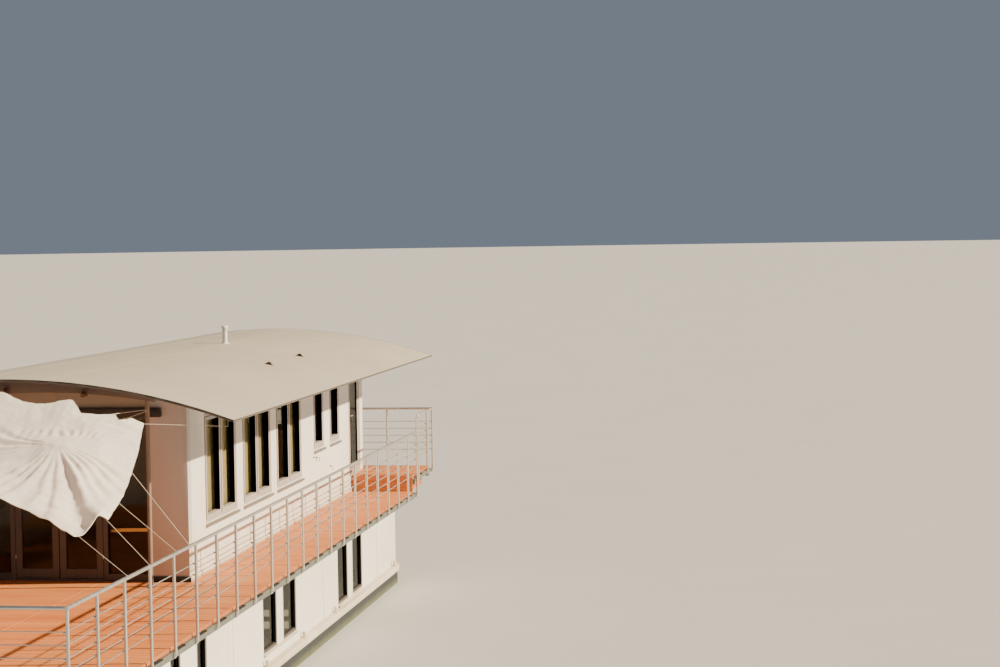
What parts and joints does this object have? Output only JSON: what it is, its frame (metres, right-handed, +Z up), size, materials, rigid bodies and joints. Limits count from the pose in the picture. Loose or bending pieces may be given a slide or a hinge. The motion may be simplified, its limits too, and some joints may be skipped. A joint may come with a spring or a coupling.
{
  "type": "two-storey houseboat",
  "caption": "Flat-bottomed houseboat: pontoon with a lower storey, wide railed deck, cabin under a thin barrel roof, sun sail over the terrace, hinged doors.",
  "frame": {"origin": "on the flat bottom of the pontoon, under the middle of the deck's overall length and width; the water stands 0.90 m above it", "axes": "+X towards the open water side, +Y along the boat towards the boarding platform end, +Z up"},
  "size_m": [6, 20, 5.5981],
  "materials": {
    "hull_paint": "dull black-green steel paint",
    "ledge_paint": "weathered beige paint",
    "white_panel": "satin white panel",
    "window_frame": "painted beige-grey wood with clear glass",
    "deck_board": "red-brown oiled boards, weathered",
    "galvanised_steel": "dull hot-dip galvanised",
    "roof_sheet": "matt grey sheet metal",
    "timber": "dark stained glued timber",
    "stainless_steel": "brushed stainless tube",
    "canvas": "cream woven canvas"
  },
  "bodies": {
    "boat": {"hull": "hull_paint", "mooring_ledge": "ledge_paint", "lower_wall_right": "white_panel", "lower_wall_left": "white_panel", "lower_wall_near": "white_panel", "lower_wall_far": "white_panel", "lower_window_right_near": "window_frame", "lower_window_right_middle": "window_frame", "lower_window_right_far": "window_frame", "lower_window_left_near": "window_frame", "lower_window_left_middle": "window_frame", "lower_window_left_far": "window_frame", "deck": "deck_board", "edge_beam_right": "galvanised_steel", "edge_beam_left": "galvanised_steel", "near_deck_frame": "galvanised_steel", "far_deck_frame": "galvanised_steel", "platform_deck": "deck_board", "platform_frame": "galvanised_steel", "cabin_wall_right": "white_panel", "cabin_wall_left": "white_panel", "cabin_wall_near": "white_panel", "cabin_wall_far": "white_panel", "window_right_large_1": "window_frame", "window_right_large_2": "window_frame", "window_right_large_3": "window_frame", "window_right_small_1": "window_frame", "window_right_small_2": "window_frame", "window_left_large_1": "window_frame", "window_left_large_2": "window_frame", "window_left_large_3": "window_frame", "window_far": "window_frame", "side_door_frame_right": "window_frame", "side_door_frame_left": "window_frame", "terrace_frame": "window_frame", "roof_sheet": "roof_sheet", "gable_beam": "timber", "gable_post_right": "stainless_steel", "gable_post_left": "stainless_steel", "vent_pipe": "white_panel", "roof_eye_1": "galvanised_steel", "roof_eye_2": "galvanised_steel", "railing_right": "stainless_steel", "railing_left": "stainless_steel", "railing_near": "stainless_steel", "railing_far": "stainless_steel", "rods_right": "stainless_steel", "rods_left": "stainless_steel", "rods_near": "stainless_steel", "rods_far": "stainless_steel", "sun_sail": "canvas"},
    "side_door_leaf_right": {"side_door_right": "window_frame"},
    "side_door_leaf_left": {"side_door_left": "window_frame"},
    "terrace_door_leaf_right": {"terrace_door_right": "window_frame"},
    "terrace_door_leaf_left": {"terrace_door_left": "window_frame"}
  },
  "joints": [
    {"name": "side_door_right_hinge", "type": "hinge", "parent": "boat", "child": "side_door_leaf_right", "pos_m": [1.796, 8.978, 3.8], "axis": [0, 0, 1], "range_deg": [0, 90]},
    {"name": "side_door_left_hinge", "type": "hinge", "parent": "boat", "child": "side_door_leaf_left", "pos_m": [-1.796, 8.978, 3.8], "axis": [0, 0, -1], "range_deg": [0, 90]},
    {"name": "terrace_door_right_hinge", "type": "hinge", "parent": "boat", "child": "terrace_door_leaf_right", "pos_m": [0.611, -1.908, 3.6], "axis": [0, 0, 1], "range_deg": [0, 95]},
    {"name": "terrace_door_left_hinge", "type": "hinge", "parent": "boat", "child": "terrace_door_leaf_left", "pos_m": [-0.611, -1.908, 3.6], "axis": [0, 0, -1], "range_deg": [0, 95]}
  ]
}
